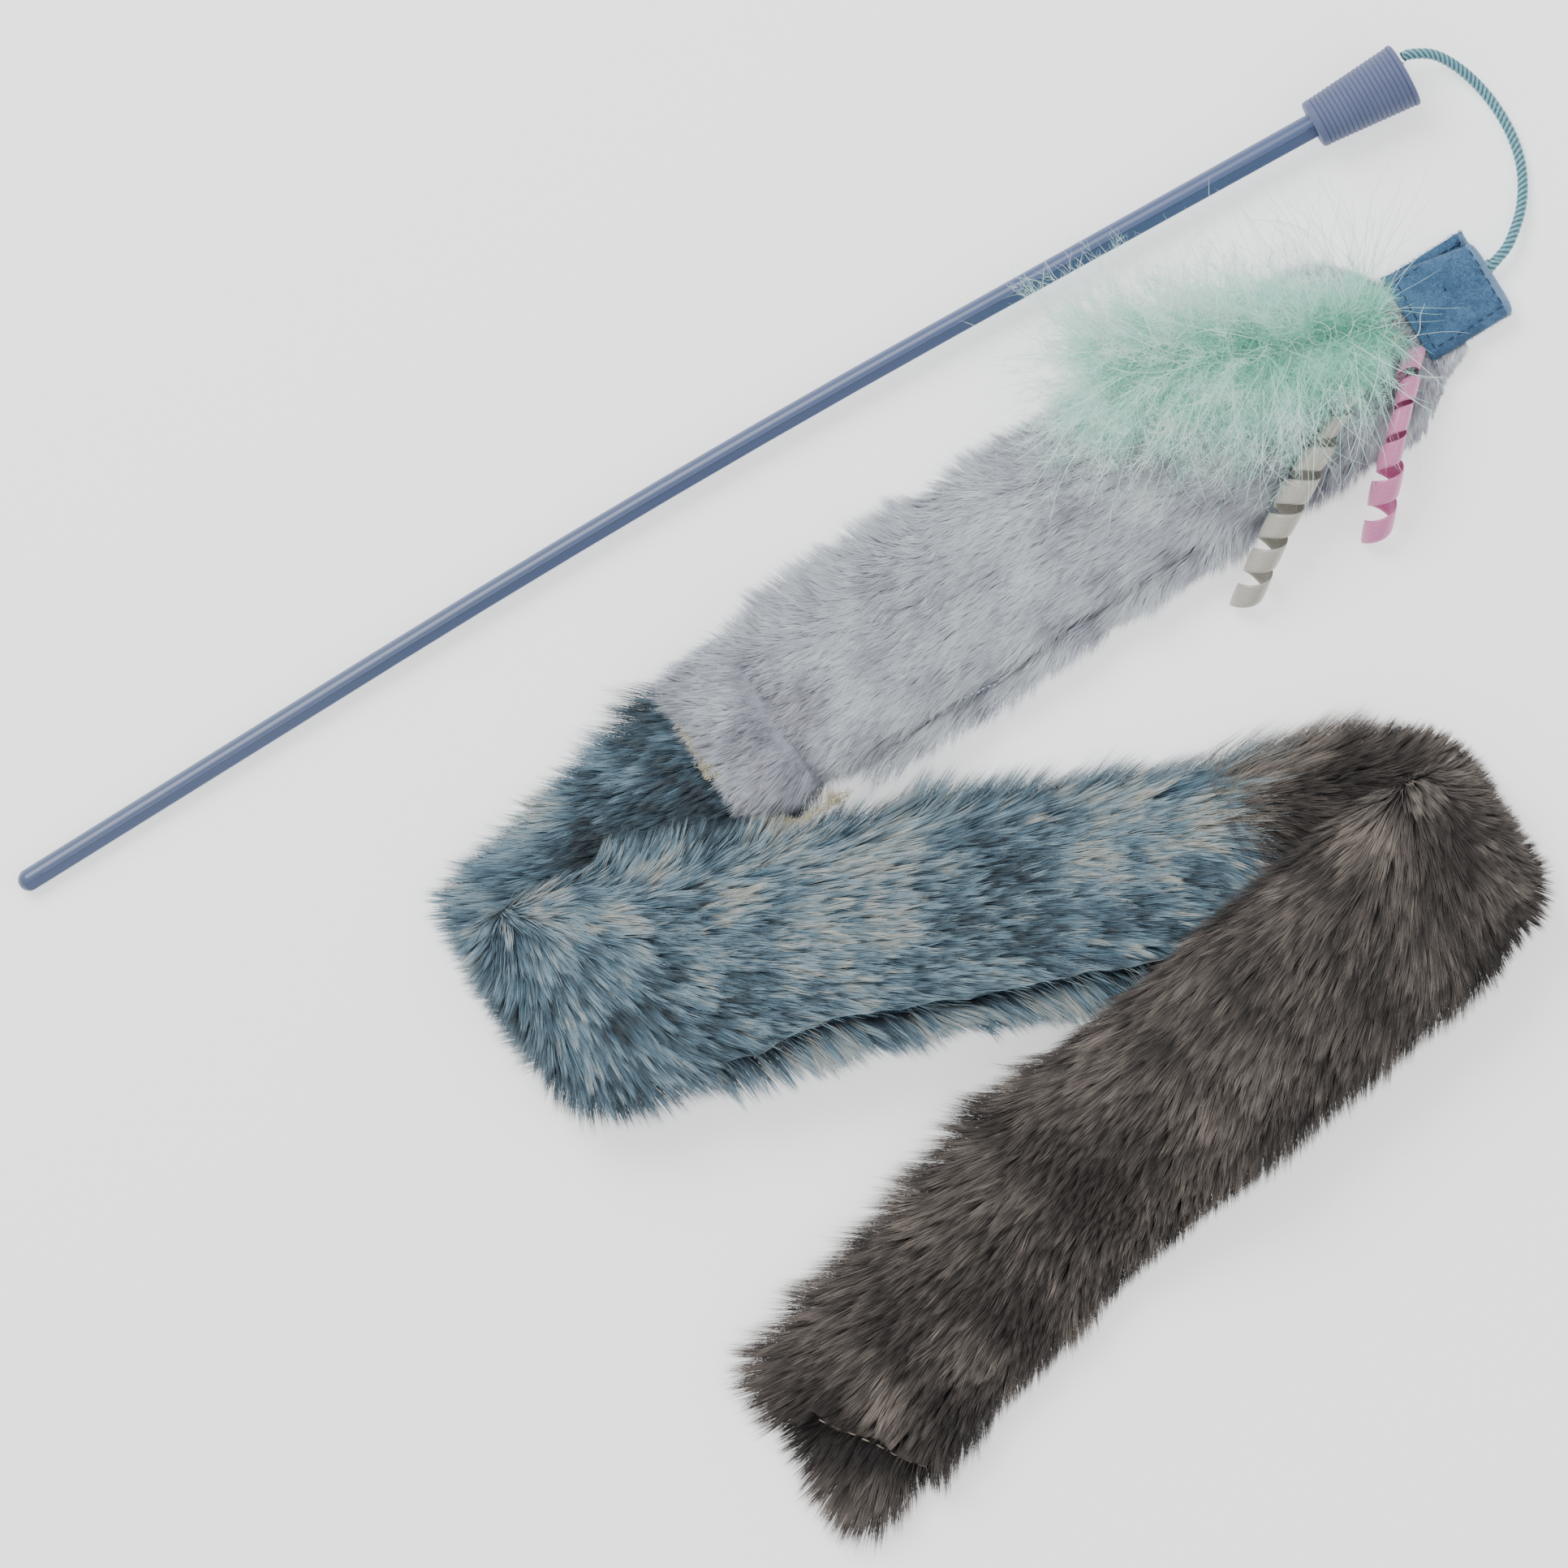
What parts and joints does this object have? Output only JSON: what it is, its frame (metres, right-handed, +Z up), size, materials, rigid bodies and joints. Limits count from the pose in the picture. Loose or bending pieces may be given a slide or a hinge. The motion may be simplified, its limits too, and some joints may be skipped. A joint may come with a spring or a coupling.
{
  "type": "cat teaser wand",
  "caption": "Cat teaser wand: bowed plastic rod with a ribbed bell cap, satin cord, sewn felt tab, folded faux-fur tube, marabou feather and satin ribbon curls.",
  "frame": {"origin": "centre of the rod's domed butt, on the grip's axis, one rod radius above the surface that the toy lies on", "axes": "+X along the grip towards the tip, +Y away from the fur in the plane of the surface, +Z up"},
  "size_m": [0.4612, 0.2729, 0.0309],
  "materials": {
    "rod_plastic": "injection-moulded blue-grey plastic with a satin gloss",
    "cap_rubber": "matte periwinkle soft plastic with moulded ribs",
    "satin_cord": "twisted teal satin cord",
    "felt": "blue wool-blend felt with lockstitched edges",
    "grey_fur": "light grey faux fur with a short fine pile",
    "blue_fur": "blue faux fur with pale tips and dark roots",
    "brown_fur": "brown-grey faux fur with a long pile",
    "marabou": "mint-green marabou down on a pale shaft",
    "pink_satin": "pink satin ribbon, woven edges",
    "grey_satin": "warm grey satin ribbon, woven edges"
  },
  "bodies": {
    "wand": {"wand_rod": "rod_plastic", "tip_cap": "cap_rubber", "stopper_knot": "satin_cord", "cord_root": "satin_cord"},
    "cord_loop": {"cord": "satin_cord"},
    "lure_head": {"felt_tab": "felt", "tab_knot": "satin_cord", "fur_grey": "grey_fur", "fur_blue_upper": "blue_fur"},
    "middle_stretch": {"fur_blue_lower": "blue_fur", "fur_brown_upper": "brown_fur"},
    "tail_stretch": {"fur_brown_lower": "brown_fur"},
    "feather": {"feather_quill": "marabou", "feather_down": "marabou"},
    "pink_curl": {"pink_ribbon": "pink_satin"},
    "grey_curl": {"grey_ribbon": "grey_satin"}
  },
  "joints": [
    {"name": "cord_swing", "type": "hinge", "parent": "wand", "child": "cord_loop", "pos_m": [0.441, -0.0075, 0.00615], "axis": [0, 0, 1], "range_deg": [-4, 90]},
    {"name": "tab_swing", "type": "hinge", "parent": "cord_loop", "child": "lure_head", "pos_m": [0.434, -0.0685, 0.00145], "axis": [0, 0, 1], "range_deg": [-4, 60]},
    {"name": "left_fold", "type": "hinge", "parent": "lure_head", "child": "middle_stretch", "pos_m": [0.0979, -0.1, 0.00719], "axis": [0, -1, 0], "range_deg": [0, 150]},
    {"name": "right_fold", "type": "hinge", "parent": "middle_stretch", "child": "tail_stretch", "pos_m": [0.3504, -0.199, 0.0094], "axis": [0, 1, 0], "range_deg": [0, 150]},
    {"name": "feather_lift", "type": "hinge", "parent": "lure_head", "child": "feather", "pos_m": [0.4034, -0.068, 0.00355], "axis": [0.4147, 0.91, 0], "range_deg": [0, 50]},
    {"name": "pink_lift", "type": "hinge", "parent": "lure_head", "child": "pink_curl", "pos_m": [0.4036, -0.078, 0.0045], "axis": [-0.76, 0.65, 0], "range_deg": [0, 45]},
    {"name": "grey_lift", "type": "hinge", "parent": "lure_head", "child": "grey_curl", "pos_m": [0.4036, -0.0715, 0.0045], "axis": [-0.4711, 0.8821, 0], "range_deg": [0, 20]}
  ]
}
